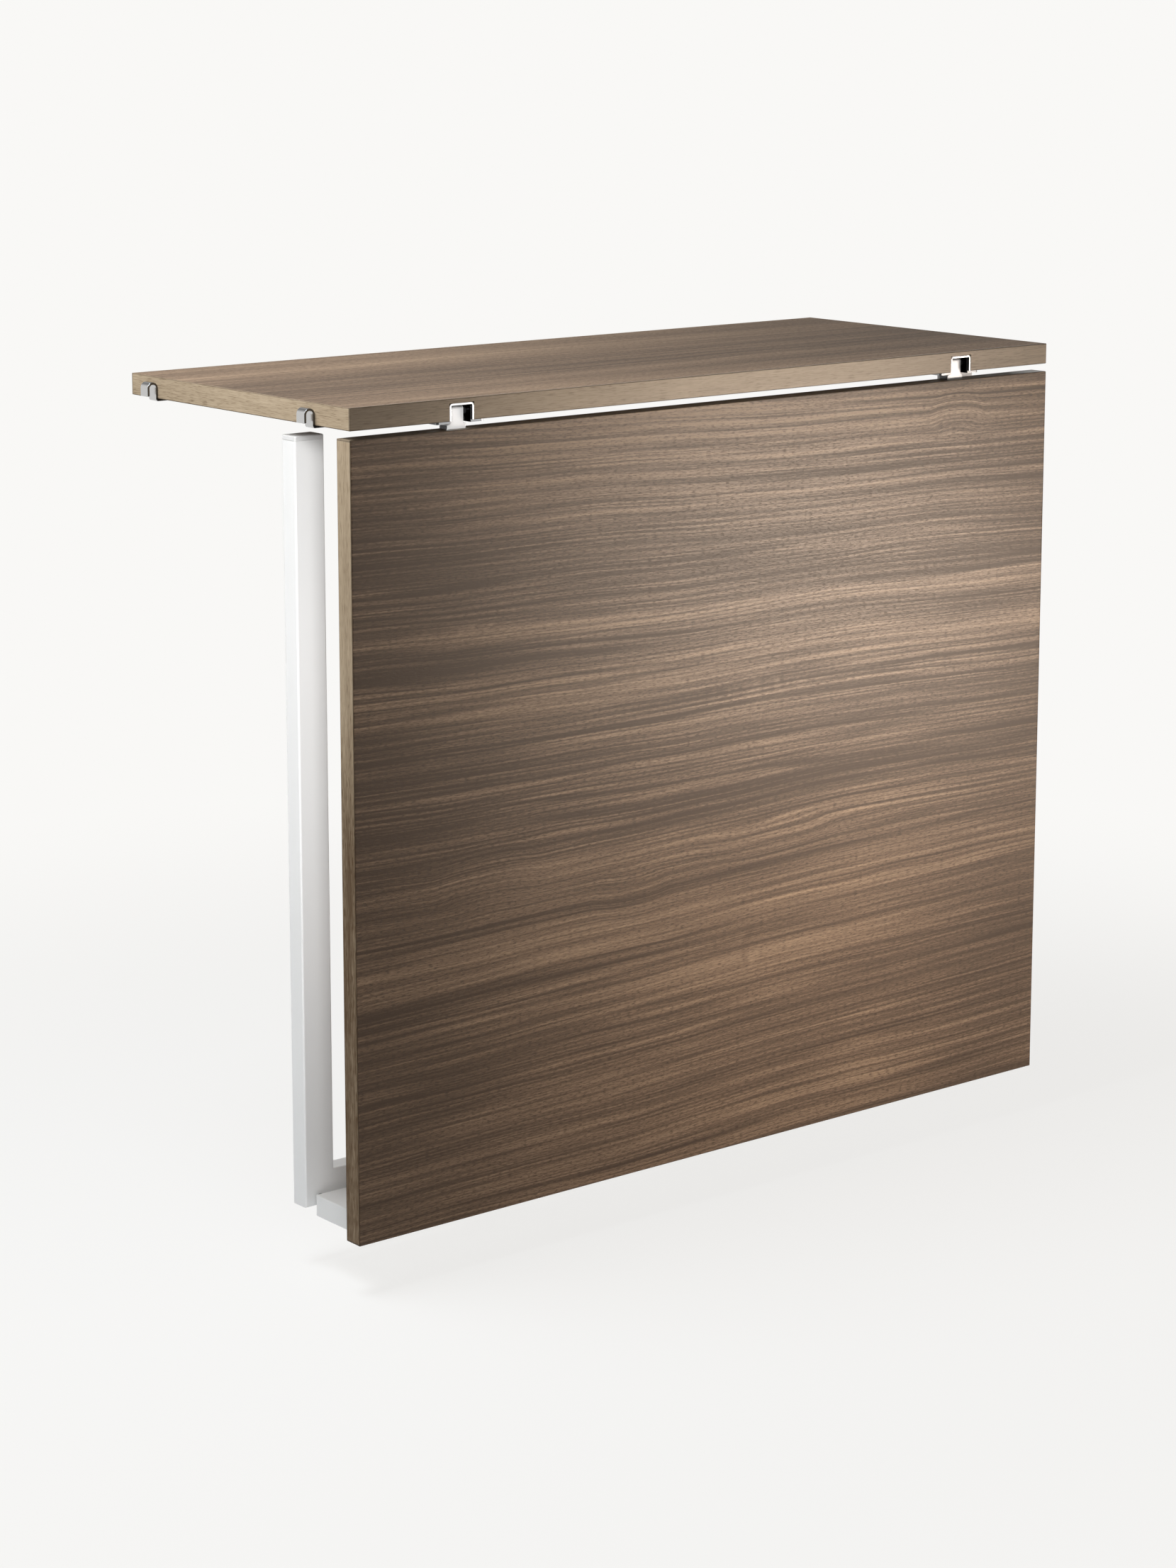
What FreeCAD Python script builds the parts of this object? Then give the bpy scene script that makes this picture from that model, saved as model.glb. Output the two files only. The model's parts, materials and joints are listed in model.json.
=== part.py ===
import FreeCAD, Part
import math
import os

# Wall mounted drop leaf table, in millimetres.
# Origin at the middle of the shelf's back edge. +X is right, +Y is to the wall, +Z is up.
# Rest pose: the leaf hangs from the shelf's front edge and the leg lies folded behind it.

# Boards
board_width = 760.0
board_thickness = 18.0
shelf_depth = 312.0
leaf_length = 645.5
band_thickness = 1.5
band_rounding = 0.7

# Leaf hinge: the gap between the boards with the leaf raised, and the least room while it swings
joint_gap = 2.5
swing_clearance = 0.6
hinge_end_distance = 107.0
hoop_width = 24.0
hoop_strip = 2.0
hoop_setback = 0.2
hoop_top_room = 1.3
hoop_back_room = 2.9
hoop_outer_radius = 3.0
flange_length = 11.0
flange_setback = 2.0
notch_clearance = 0.1
hinge_pin_radius = 2.5
pin_clearance = 0.05
pin_grip_clearance = 0.02
knuckle_radius = 4.1
brow_radius = 2.0
arm_width = 13.0
arm_side_clearance = 0.3
boss_radius = 3.5
foot_side_clearance = 0.5
foot_thickness = 3.6
foot_rounding = 1.0
web_root_radius = 1.5
web_root_share = 0.7
foot_back_setback = 0.5
tongue_thickness = 7.0
tongue_length = 38.0
tongue_clearance = 0.1
arm_screw_start = 12.0
arm_screw_tip_distance = 10.0

# Hooks, bent from one strip and hung over a round bar
hook_width = 11.0
hook_strip = 2.0
hook_inner_radius = 3.0
hook_top_distance = 4.2
hook_outer_height = 11.6
hook_flange_length = 34.0
hook_bend_radius = 2.0
hook_tip_rounding = 1.0
front_hook_distance = 51.8
rear_hook_distance = 34.8
hook_screw_start = 14.0
hook_screw_tip_distance = 8.0

# Leg rail on the leaf's back
rail_depth = 62.6
rail_height = 18.0
rail_end_inset = 14.0
rail_foot_gap = 0.2
rail_rounding = 0.8
rail_screw_count = 4
rail_screw_end_distance = 66.0
rail_screw_grip = 12.4
rail_bore_clearance = 0.4
rail_bore_depth = 25.0

# Leg frame of rectangular tube
leg_inset = 7.0
leg_gap = 4.4
tube_width = 28.0
tube_depth = 18.0
tube_wall = 1.5
tube_rounding = 1.5
rail_lap = 11.2
leg_head_room = 12.8
stop_clearance = 0.1
cap_height = 4.2
cap_seam = 0.5
cap_rounding_margin = 0.1
plug_length = 16.0
plug_clearance = 0.15

# Leg hinges
leg_hinge_place = 200.0
leg_hinge_length = 60.0
leg_hinge_plate = 1.6
moving_plate_margin = 1.9
leg_knuckle_length = 30.0
barrel_clearance = 0.2
leg_pin_radius = 1.0
knuckle_play = 0.3
plate_edge_margin = 0.6
plate_screw_spacing = 36.0
tube_screw_distance = 9.0
bumper_radius = 3.2
bumper_play = 0.1

# Screws, each set by head radius, head height, shank radius and length
board_screw = {"head": 3.3, "head_height": 1.8, "shank": 1.7, "length": 13.0}
plate_screw = {"head": 2.1, "head_height": 1.3, "shank": 1.0, "length": 9.0}
rail_screw_length = rail_depth - rail_bore_depth + rail_screw_grip
rail_screw = {"head": 4.0, "head_height": 2.4, "shank": 2.2, "length": rail_screw_length}
screw_clearance = 0.03
recess_width_share = 0.28
recess_span_share = 0.62
recess_depth_share = 0.8

# Soft edges of the bent strips and the arms, and room for cutting shapes to reach past a face
strip_edge_rounding = 0.35
cut_margin = 1.0
TINY = 1e-6

# Places worked out from the sizes above
half_width = board_width / 2
shelf_top = board_thickness / 2
shelf_bottom = -board_thickness / 2
shelf_front = -shelf_depth

# The pivot lies as far behind the boards' front face as below the shelf's top face, so that the raised
# leaf is flush. Its place follows from the swing: the leaf's edge just passes the shelf's lower front corner.
swing_reach = joint_gap - swing_clearance
pivot_inset = board_thickness + swing_reach - math.sqrt(2 * swing_reach * (board_thickness + swing_reach))
pivot_y = shelf_front + pivot_inset
pivot_z = shelf_top - pivot_inset
hang_gap = 2 * pivot_inset - board_thickness + joint_gap

leaf_top = shelf_bottom - hang_gap
leaf_bottom = leaf_top - leaf_length
leaf_front = shelf_front
leaf_back = leaf_front + board_thickness

hinge_places = {"left": -half_width + hinge_end_distance, "right": half_width - hinge_end_distance}
hoop_front = shelf_front + hoop_setback
hoop_back = pivot_y + knuckle_radius + hoop_back_room
hoop_top = pivot_z + knuckle_radius + hoop_top_room + hoop_strip
channel_width = hoop_width - 2 * hoop_strip
foot_width = channel_width - 2 * foot_side_clearance
arm_front = pivot_y - knuckle_radius

rail_half_length = half_width - rail_end_inset
rail_back = leaf_back + rail_depth
rail_bottom = leaf_bottom + rail_foot_gap
rail_top = rail_bottom + rail_height
rail_middle = (rail_bottom + rail_top) / 2
rail_bore_radius = rail_screw["head"] + rail_bore_clearance

leg_half_width = half_width - leg_inset
leg_front = rail_back + leg_gap
leg_back = leg_front + tube_depth
leg_bottom = rail_top - rail_lap
cap_top = shelf_bottom - leg_head_room
post_top = cap_top - cap_height
cap_rounding = tube_rounding - cap_rounding_margin
leg_pin_y = rail_back + leg_gap / 2
leg_pin_z = leg_bottom + leg_gap / 2 - stop_clearance
barrel_radius = leg_gap / 2 - barrel_clearance
moving_plate_top = leg_bottom + tube_width - moving_plate_margin
leg_hinge_places = {"left": -leg_hinge_place, "right": leg_hinge_place}

X_AXIS = FreeCAD.Vector(1, 0, 0)
UP = FreeCAD.Vector(0, 0, 1)
TO_WALL = FreeCAD.Vector(0, 1, 0)
FROM_WALL = FreeCAD.Vector(0, -1, 0)


# Basic shapes
def block(x_low, x_high, y_low, y_high, z_low, z_high):
    corner = FreeCAD.Vector(x_low, y_low, z_low)
    return Part.makeBox(x_high - x_low, y_high - y_low, z_high - z_low, corner)


def rod_along_x(radius, x_low, x_high, y, z):
    return Part.makeCylinder(radius, x_high - x_low, FreeCAD.Vector(x_low, y, z), X_AXIS)


def prism_along_y(outline, y_low, y_high):
    """A prism whose outline is given as (x, z) points."""
    points = [FreeCAD.Vector(x, y_low, z) for x, z in outline]
    face = Part.Face(Part.makePolygon(points + points[:1]))
    return face.extrude(FreeCAD.Vector(0, y_high - y_low, 0))


def edges_where(shape, test):
    return [edge for edge in shape.Edges if test(edge.BoundBox)]


def round_edges(shape, radius, test):
    return shape.makeFillet(radius, edges_where(shape, test))


def runs_along(axis):
    """A test for straight edges along one axis."""
    others = [name for name in "XYZ" if name != axis]
    return lambda box: all(getattr(box, name + "Length") < TINY for name in others)


def lies_at(axis, place):
    """A test for edges in the plane where one coordinate has the given value."""
    return lambda box: abs(getattr(box, axis + "Min") - place) < TINY and getattr(box, axis + "Length") < TINY


def both(*tests):
    return lambda box: all(test(box) for test in tests)


def either(*tests):
    return lambda box: any(test(box) for test in tests)


def mirrored(shape):
    return shape.mirror(FreeCAD.Vector(0, 0, 0), X_AXIS)


def joined(shapes):
    result = shapes[0]
    for shape in shapes[1:]:
        result = result.fuse(shape)
    return result.removeSplitter()


# Screws
def placed(shape, point, direction):
    shape.Placement = FreeCAD.Placement(point, FreeCAD.Rotation(UP, direction))
    return shape


def screw_body(size, clearance=0.0):
    """A countersunk screw with its head's face at the origin and its shank along +Z."""
    head_radius = size["head"] + clearance
    shank_radius = size["shank"] + clearance
    head = Part.makeCone(head_radius, shank_radius, size["head_height"])
    shank = Part.makeCylinder(shank_radius, size["length"] + clearance)
    return head.fuse(shank).removeSplitter()


def screw(size, point, direction):
    half_span = size["head"] * recess_span_share
    half_arm = size["head"] * recess_width_share / 2
    depth = size["head_height"] * recess_depth_share
    arm_one = block(-half_span, half_span, -half_arm, half_arm, 0, depth)
    arm_two = block(-half_arm, half_arm, -half_span, half_span, 0, depth)
    body = screw_body(size).cut(arm_one.fuse(arm_two))
    return placed(body, point, direction)


def screw_hole(size, point, direction):
    return placed(screw_body(size, screw_clearance), point, direction)


def screws(size, spots):
    return Part.makeCompound([screw(size, point, direction) for point, direction in spots])


def drilled(shape, size, spots):
    return shape.cut([screw_hole(size, point, direction) for point, direction in spots])


# Where the screws go: the middle of the head's face, and the way the shank points
def hook_y_places():
    return {"front": shelf_front + front_hook_distance, "rear": -rear_hook_distance}


def hook_screw_spots():
    spots = []
    for y in hook_y_places().values():
        for distance in (hook_screw_start, hook_flange_length - hook_screw_tip_distance):
            for side in (-1, 1):
                point = FreeCAD.Vector(side * (half_width - distance), y, shelf_bottom - hook_strip)
                spots.append((point, UP))
    return spots


def hoop_screw_spots():
    spots = []
    middle_y = (shelf_front + flange_setback + hoop_back) / 2
    for x in hinge_places.values():
        for side in (-1, 1):
            offset = hoop_width / 2 + flange_length / 2
            spots.append((FreeCAD.Vector(x + side * offset, middle_y, shelf_bottom - hoop_strip), UP))
    return spots


def arm_screw_spots():
    spots = []
    for x in hinge_places.values():
        for distance in (arm_screw_start, tongue_length - arm_screw_tip_distance):
            spots.append((FreeCAD.Vector(x, leaf_back, leaf_top - distance), FROM_WALL))
    return spots


def rail_screw_places():
    """Even places along the rail, the outer ones at a set distance from its ends."""
    outer = rail_half_length - rail_screw_end_distance
    step = 2 * outer / (rail_screw_count - 1)
    return [-outer + step * number for number in range(rail_screw_count)]


def rail_screw_spots():
    y = rail_back - rail_bore_depth
    return [(FreeCAD.Vector(x, y, rail_middle), FROM_WALL) for x in rail_screw_places()]


def plate_screw_spots(y, z, direction):
    spots = []
    for x in leg_hinge_places.values():
        for side in (-1, 1):
            spots.append((FreeCAD.Vector(x + side * plate_screw_spacing / 2, y, z), direction))
    return spots


def rail_plate_screw_spots():
    z = (leg_pin_z + barrel_radius + rail_top - plate_edge_margin) / 2
    return plate_screw_spots(rail_back + leg_hinge_plate, z, FROM_WALL)


def tube_plate_screw_spots():
    return plate_screw_spots(leg_front - leg_hinge_plate, moving_plate_top - tube_screw_distance, TO_WALL)


# Boards and their edge bands
def banded_board(low, high, thin_axis):
    """A core and its four edge bands. Bands along X cover the ends of the other two."""
    long_axis = "Y" if thin_axis == "Z" else "Z"
    index = "XYZ".index(long_axis)

    def slab(x_low, x_high, from_low, to_high):
        corner_low = list(low)
        corner_high = list(high)
        corner_low[0] = x_low
        corner_high[0] = x_high
        corner_low[index] = from_low
        corner_high[index] = to_high
        limits = [limit for pair in zip(corner_low, corner_high) for limit in pair]
        return block(*limits)

    inner_low = low[index] + band_thickness
    inner_high = high[index] - band_thickness
    inner_left = low[0] + band_thickness
    inner_right = high[0] - band_thickness
    pieces = {
        "core": slab(inner_left, inner_right, inner_low, inner_high),
        "low": slab(low[0], high[0], low[index], inner_low),
        "high": slab(low[0], high[0], inner_high, high[index]),
        "left": slab(low[0], inner_left, inner_low, inner_high),
        "right": slab(inner_right, high[0], inner_low, inner_high),
    }

    on_face = either(*[lies_at(thin_axis, corner["XYZ".index(thin_axis)]) for corner in (low, high)])
    on_end = either(lies_at("X", low[0]), lies_at("X", high[0]))
    on_side = either(lies_at(long_axis, low[index]), lies_at(long_axis, high[index]))
    rim = either(both(on_face, on_end), both(on_face, on_side), both(on_end, on_side))
    for name in ("low", "high", "left", "right"):
        pieces[name] = round_edges(pieces[name], band_rounding, rim)
    return pieces


def hinge_notch(x):
    """The room in the shelf's front edge for one hoop."""
    half = hoop_width / 2 + notch_clearance
    back = hoop_back + notch_clearance
    return block(x - half, x + half, shelf_front - cut_margin, back,
                 shelf_bottom - cut_margin, hoop_top + notch_clearance)


def tongue_block(x, clearance):
    half = arm_width / 2 + clearance
    front = arm_front - clearance
    back = arm_front + tongue_thickness + clearance
    return block(x - half, x + half, front, back, leaf_top - tongue_length - clearance, leaf_top)


def shelf_pieces():
    low = (-half_width, shelf_front, shelf_bottom)
    high = (half_width, 0.0, shelf_top)
    pieces = banded_board(low, high, "Z")
    notches = [hinge_notch(x) for x in hinge_places.values()]
    core = drilled(pieces["core"].cut(notches), board_screw, hook_screw_spots() + hoop_screw_spots())
    return {
        "shelf_board": core,
        "shelf_band_front": pieces["low"].cut(notches),
        "shelf_band_back": pieces["high"],
        "shelf_band_left": pieces["left"],
        "shelf_band_right": pieces["right"],
    }


def leaf_pieces():
    low = (-half_width, leaf_front, leaf_bottom)
    high = (half_width, leaf_back, leaf_top)
    pieces = banded_board(low, high, "Y")
    pockets = [tongue_block(x, tongue_clearance) for x in hinge_places.values()]
    core = drilled(pieces["core"].cut(pockets), board_screw, arm_screw_spots())
    core = drilled(core, rail_screw, rail_screw_spots())
    return {
        "leaf_board": core,
        "leaf_band_top": pieces["high"].cut(pockets),
        "leaf_band_bottom": pieces["low"],
        "leaf_band_left": pieces["left"],
        "leaf_band_right": pieces["right"],
    }


# Hooks
def left_hook(y):
    """A strip under the shelf that turns up along its end and bends over to hang on a bar."""
    y_low = y - hook_width / 2
    y_high = y + hook_width / 2
    end = -half_width
    bend_x = end - hook_strip - hook_inner_radius
    outer_radius = hook_inner_radius + hook_strip
    hook_top = shelf_top - hook_top_distance
    bend_z = hook_top - outer_radius
    flange_under = shelf_bottom - hook_strip
    centre = FreeCAD.Vector(bend_x, y_low, bend_z)
    ring = Part.makeCylinder(outer_radius, hook_width, centre, TO_WALL)
    inner = Part.makeCylinder(hook_inner_radius, hook_width, centre, TO_WALL)
    lower_half = block(bend_x - outer_radius, end, y_low, y_high, bend_z - outer_radius, bend_z)
    bend = ring.cut([inner, lower_half])
    outer_leg = block(bend_x - outer_radius, bend_x - hook_inner_radius, y_low, y_high,
                      hook_top - hook_outer_height, bend_z)
    inner_leg = block(end - hook_strip, end, y_low, y_high, flange_under, bend_z)
    flange = block(end - hook_strip, end + hook_flange_length, y_low, y_high, flange_under, shelf_bottom)

    hook = joined([inner_leg, flange, bend, outer_leg])
    lower_bend = both(runs_along("Y"), lies_at("X", end - hook_strip), lies_at("Z", flange_under))
    flange_tip = both(runs_along("Z"), lies_at("X", end + hook_flange_length))
    outer_tip = both(runs_along("X"), lies_at("Z", hook_top - hook_outer_height))
    hook = round_edges(hook, hook_bend_radius, lower_bend)
    hook = round_edges(hook, hook_bend_radius, flange_tip)
    hook = round_edges(hook, hook_tip_rounding, outer_tip)
    return round_edges(hook, strip_edge_rounding, either(lies_at("Y", y_low), lies_at("Y", y_high)))


def hook_pieces():
    pieces = {}
    for place, y in hook_y_places().items():
        hook = left_hook(y)
        pieces["hook_" + place + "_left"] = drilled(hook, board_screw, hook_screw_spots())
        pieces["hook_" + place + "_right"] = drilled(mirrored(hook), board_screw, hook_screw_spots())
    pieces["hook_screws"] = screws(board_screw, hook_screw_spots())
    return pieces


# Leaf hinges
def hinge_hoop(x):
    """A strip bent to a hoop, open at the front and below, with a flange on each side under the shelf."""
    half = hoop_width / 2
    under = shelf_bottom - hoop_strip
    flange_front = shelf_front + flange_setback
    inner_half = channel_width / 2
    outside = block(x - half, x + half, hoop_front, hoop_back, under, hoop_top)
    inside = block(x - inner_half, x + inner_half, hoop_front, hoop_back, under, hoop_top - hoop_strip)

    outside = round_edges(outside, hoop_outer_radius, both(runs_along("Y"), lies_at("Z", hoop_top)))
    inner_radius = max(hoop_outer_radius - hoop_strip, strip_edge_rounding)
    inside = round_edges(inside, inner_radius, both(runs_along("Y"), lies_at("Z", hoop_top - hoop_strip)))
    heel = block(x - half, x + half, hoop_front, flange_front, under, shelf_bottom)
    arch = outside.cut([inside, heel])
    arch = round_edges(arch, strip_edge_rounding, lies_at("Y", hoop_front))
    flanges = []
    for side in (-1, 1):
        root = x + side * inner_half
        tip = x + side * (half + flange_length)
        flange = block(min(root, tip), max(root, tip), flange_front, hoop_back, under, shelf_bottom)
        flanges.append(round_edges(flange, hoop_strip, both(runs_along("Z"), lies_at("X", tip))))
    hoop = joined([arch] + flanges)
    pin_hole = rod_along_x(hinge_pin_radius + pin_grip_clearance, x - half, x + half, pivot_y, pivot_z)
    return drilled(hoop.cut(pin_hole), board_screw, hoop_screw_spots())


def hinge_arm(x):
    """A knuckle on the pin with a flat front, a web down to a foot, and a tongue inside the leaf."""
    half_arm = arm_width / 2
    half_channel = channel_width / 2 - arm_side_clearance
    arm_back = pivot_y + knuckle_radius
    foot_back = leaf_back - foot_back_setback
    knuckle = rod_along_x(knuckle_radius, x - half_arm, x + half_arm, pivot_y, pivot_z)
    boss = rod_along_x(boss_radius, x - half_channel, x + half_channel, pivot_y, pivot_z)
    web = block(x - half_arm, x + half_arm, arm_front, arm_back, leaf_top, pivot_z)
    brow_top = pivot_z + knuckle_radius
    brow = block(x - half_arm, x + half_arm, arm_front, pivot_y, pivot_z, brow_top)
    brow_edge = both(runs_along("X"), lies_at("Y", arm_front), lies_at("Z", brow_top))
    brow = round_edges(brow, brow_radius, brow_edge)
    foot_top = leaf_top + foot_thickness
    foot = block(x - foot_width / 2, x + foot_width / 2, arm_front, foot_back, leaf_top, foot_top)
    foot = round_edges(foot, foot_rounding, runs_along("Z"))
    hole_radius = hinge_pin_radius + pin_clearance
    pin_hole = rod_along_x(hole_radius, x - half_channel, x + half_channel, pivot_y, pivot_z)
    upper = joined([knuckle, brow, web, foot])
    ledge = min(foot_back - arm_back, (foot_width - arm_width) / 2)
    root_radius = min(web_root_radius, web_root_share * ledge)
    web_sides = either(lies_at("X", x - half_arm), lies_at("X", x + half_arm))
    web_root = both(lies_at("Z", foot_top), either(web_sides, lies_at("Y", arm_back)))
    upper = round_edges(upper, root_radius, web_root)
    arm = joined([upper, boss, tongue_block(x, 0.0)]).cut(pin_hole)
    return drilled(arm, board_screw, arm_screw_spots())


def hinge_pieces():
    pieces = {}
    half_pin = hoop_width / 2
    for side, x in hinge_places.items():
        pin = rod_along_x(hinge_pin_radius, x - half_pin, x + half_pin, pivot_y, pivot_z)
        pieces["hinge_hoop_" + side] = hinge_hoop(x)
        pieces["hinge_pin_" + side] = pin
        pieces["hinge_arm_" + side] = hinge_arm(x)
    pieces["hoop_screws"] = screws(board_screw, hoop_screw_spots())
    pieces["arm_screws"] = screws(board_screw, arm_screw_spots())
    return pieces


# Rail
def rail_pieces():
    rail = block(-rail_half_length, rail_half_length, leaf_back, rail_back, rail_bottom, rail_top)
    rail = round_edges(rail, rail_rounding, lambda edge_box: edge_box.YMax > leaf_back + TINY)
    mouths = [FreeCAD.Vector(x, rail_back, rail_middle) for x in rail_screw_places()]
    bores = [Part.makeCylinder(rail_bore_radius, rail_bore_depth, mouth, FROM_WALL) for mouth in mouths]
    rail = drilled(rail.cut(bores), rail_screw, rail_screw_spots())
    rail = drilled(rail, plate_screw, rail_plate_screw_spots())
    bumpers = []
    bumper_z = (leg_pin_z + rail_top) / 2
    for side in (-1, 1):
        place = FreeCAD.Vector(side * (leg_half_width - tube_width / 2), rail_back, bumper_z)
        bumpers.append(Part.makeCylinder(bumper_radius, leg_gap - bumper_play, place, TO_WALL))
    return {
        "leg_rail": rail,
        "rail_screws": screws(rail_screw, rail_screw_spots()),
        "rail_plate_screws": screws(plate_screw, rail_plate_screw_spots()),
        "leg_bumpers": Part.makeCompound(bumpers),
    }


# Leg frame
def tube(x_low, x_high, y_low, y_high, z_low, z_high, axis):
    """A rectangular tube along one axis, with rounded long edges."""
    outside = round_edges(block(x_low, x_high, y_low, y_high, z_low, z_high), tube_rounding, runs_along(axis))
    walls = {name: 0.0 if name == axis else tube_wall for name in "XYZ"}
    inside = block(x_low + walls["X"], x_high - walls["X"], y_low + walls["Y"], y_high - walls["Y"],
                   z_low + walls["Z"], z_high - walls["Z"])
    return outside.cut(inside)


def mitre_wedge(side, above):
    """One side of the slanted plane through a lower corner of the frame."""
    reach = tube_width
    outer_x = side * leg_half_width
    low = (outer_x + side * reach, leg_bottom - reach)
    high = (outer_x - side * 2 * reach, leg_bottom + 2 * reach)
    third = (low[0], high[1]) if above else (high[0], low[1])
    return prism_along_y([low, high, third], leg_front - cut_margin, leg_back + cut_margin)


def leg_post(side):
    outer = side * leg_half_width
    inner = outer - side * tube_width
    post = tube(min(outer, inner), max(outer, inner), leg_front, leg_back, leg_bottom, post_top, "Z")
    return post.cut(mitre_wedge(side, above=False))


def foot_cap(side):
    outer = side * leg_half_width
    inner = outer - side * tube_width
    x_low = min(outer, inner)
    x_high = max(outer, inner)
    head = block(x_low, x_high, leg_front, leg_back, post_top, cap_top)
    head = round_edges(head, tube_rounding, runs_along("Z"))
    head = round_edges(head, cap_rounding, lies_at("Z", cap_top))
    head = head.makeChamfer(cap_seam, edges_where(head, lies_at("Z", post_top)))
    shrink = tube_wall + plug_clearance
    plug = block(x_low + shrink, x_high - shrink, leg_front + shrink, leg_back - shrink,
                 post_top - plug_length, post_top)
    return joined([head, plug])


def leg_pieces():
    cross = tube(-leg_half_width, leg_half_width, leg_front, leg_back,
                 leg_bottom, leg_bottom + tube_width, "X")
    cross = cross.cut([mitre_wedge(-1, above=True), mitre_wedge(1, above=True)])
    return {
        "leg_post_left": leg_post(-1),
        "leg_post_right": leg_post(1),
        "leg_cross_tube": drilled(cross, plate_screw, tube_plate_screw_spots()),
        "foot_cap_left": foot_cap(-1),
        "foot_cap_right": foot_cap(1),
        "tube_plate_screws": screws(plate_screw, tube_plate_screw_spots()),
    }


# Leg hinges
def leg_hinge(x):
    """A butt hinge with two outer knuckles on the rail's plate and one middle knuckle on the tube's plate."""
    x_low = x - leg_hinge_length / 2
    x_high = x + leg_hinge_length / 2
    middle_low = x - leg_knuckle_length / 2
    middle_high = x + leg_knuckle_length / 2

    def barrel(radius, low, high):
        return rod_along_x(radius, low, high, leg_pin_y, leg_pin_z)

    room = barrel_radius + knuckle_play
    fixed_plate = block(x_low, x_high, rail_back, rail_back + leg_hinge_plate,
                        leg_pin_z, rail_top - plate_edge_margin)
    fixed_plate = fixed_plate.cut(barrel(room, middle_low - knuckle_play, middle_high + knuckle_play))
    outer_knuckles = [barrel(barrel_radius, x_low, middle_low - knuckle_play),
                      barrel(barrel_radius, middle_high + knuckle_play, x_high)]
    moving_plate = block(x_low, x_high, leg_front - leg_hinge_plate, leg_front,
                         leg_pin_z, moving_plate_top)
    moving_plate = moving_plate.cut([barrel(room, x_low, middle_low), barrel(room, middle_high, x_high)])
    pin_hole = barrel(leg_pin_radius + pin_clearance, x_low, x_high)
    grip_hole = barrel(leg_pin_radius + pin_grip_clearance, x_low, x_high)
    fixed = joined([fixed_plate] + outer_knuckles).cut(grip_hole)
    moving = joined([moving_plate, barrel(barrel_radius, middle_low, middle_high)]).cut(pin_hole)
    return fixed, moving, barrel(leg_pin_radius, x_low, x_high)


def leg_hinge_pieces():
    pieces = {}
    for side, x in leg_hinge_places.items():
        fixed, moving, pin = leg_hinge(x)
        pieces["leg_hinge_fixed_" + side] = drilled(fixed, plate_screw, rail_plate_screw_spots())
        pieces["leg_hinge_moving_" + side] = drilled(moving, plate_screw, tube_plate_screw_spots())
        pieces["leg_hinge_pin_" + side] = pin
    return pieces


groups = (shelf_pieces, leaf_pieces, hook_pieces, hinge_pieces, rail_pieces, leg_pieces, leg_hinge_pieces)
os.makedirs("parts", exist_ok=True)
for group in groups:
    for node, shape in group().items():
        if not shape.isValid():
            raise ValueError(node + " is not a valid solid")
        shape.exportStep("parts/" + node + ".step")
        print(node, len(shape.Solids), round(shape.Volume, 1))

print("pivot inset", round(pivot_inset, 3), "hang gap", round(hang_gap, 3))
open_height = (leg_pin_y - leaf_front) + (cap_top - leg_pin_z)
print("height of the opened table", round(open_height, 1))
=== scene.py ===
import json
import math

import bpy
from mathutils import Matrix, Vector


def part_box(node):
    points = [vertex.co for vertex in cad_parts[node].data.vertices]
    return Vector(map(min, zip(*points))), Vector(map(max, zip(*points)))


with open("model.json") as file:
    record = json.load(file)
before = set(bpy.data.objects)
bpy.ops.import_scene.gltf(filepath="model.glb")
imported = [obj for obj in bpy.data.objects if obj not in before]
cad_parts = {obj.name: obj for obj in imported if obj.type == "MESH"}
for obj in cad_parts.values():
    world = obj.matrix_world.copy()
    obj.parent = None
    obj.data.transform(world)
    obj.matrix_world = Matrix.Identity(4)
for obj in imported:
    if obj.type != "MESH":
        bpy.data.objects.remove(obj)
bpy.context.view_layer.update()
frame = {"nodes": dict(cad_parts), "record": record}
scene = bpy.context.scene

# Sizes are in metres and angles in degrees, unless a comment says otherwise

# Camera fitted to the corners of both boards. The sensor is in millimetres, and pixels are the photograph's
PHOTO_HEIGHT = 2212
SENSOR = 36.0
CAMERA_PLACE = Vector((-1.9385, -2.5267, 0.3379))
CAMERA_YAW = 38.976
CAMERA_PITCH = -10.452
FOCAL_PIXELS = 5037.6
EYE_LINE_PIXELS = 885

# The floor lies where the feet of the opened table stand, and shows the shadow only around the table
FLOOR_PLACE = (0, -0.2, -0.7043)
FLOOR_SIZE = 24.0
SHADOW_INNER = 0.45
SHADOW_OUTER = 1.5
SHADOW_SHARE = 0.16
FLOOR_COLOUR = (0.80, 0.795, 0.785, 1)
FLOOR_STAIN = (0.72, 0.72, 0.71, 1)
STAIN_SHARE = 0.05
STAIN_RATE = 3.0
BACKDROP_COLOUR = (0.947, 0.939, 0.922, 1)
AMBIENT_COLOUR = (1.0, 0.99, 0.975, 1)
AMBIENT_STRENGTH = 0.15

# Where a mirrored ray begins to show the backdrop, and where it shows nothing else: places on the floor and
# directions to the world, both along Y
FLOOR_BEHIND = (-1.1, -0.2)
WORLD_BEHIND = (-0.30, 0.15)

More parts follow.
